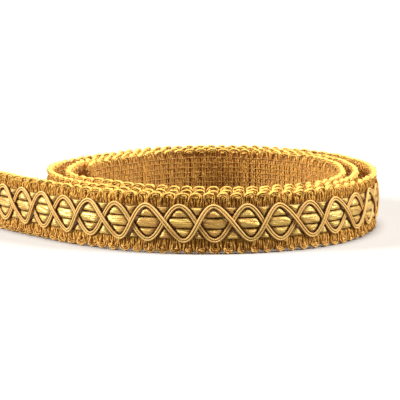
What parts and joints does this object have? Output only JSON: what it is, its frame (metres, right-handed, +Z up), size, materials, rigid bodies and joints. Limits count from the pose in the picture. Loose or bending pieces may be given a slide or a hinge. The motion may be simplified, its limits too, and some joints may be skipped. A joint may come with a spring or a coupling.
{
  "type": "gimp braid trim",
  "caption": "Narrow furnishing braid with looped edges, satin float rows and crossing twin wave cords, wound into a loose coil that stands on its edge.",
  "frame": {"origin": "under the middle of the outline's box, on the surface that the trim stands on", "axes": "+Z up, along the tape's width; +X along the longest extent, with the coil on the +X side and the loose end at -X; the front, where the outer turn shows, faces -Y"},
  "size_m": [0.1102, 0.0942, 0.0159],
  "materials": {
    "ground_yarn": "matte ribbed yarn",
    "satin_yarn": "glossy flat floats",
    "cord_yarn": "soft sheen, wrapped cord"
  },
  "bodies": {
    "root": {"ground_tape": "ground_yarn", "satin_row_upper": "satin_yarn", "satin_row_middle": "satin_yarn", "satin_row_lower": "satin_yarn", "wave_cord_under": "cord_yarn", "wave_cord_over": "cord_yarn"}
  },
  "joints": []
}
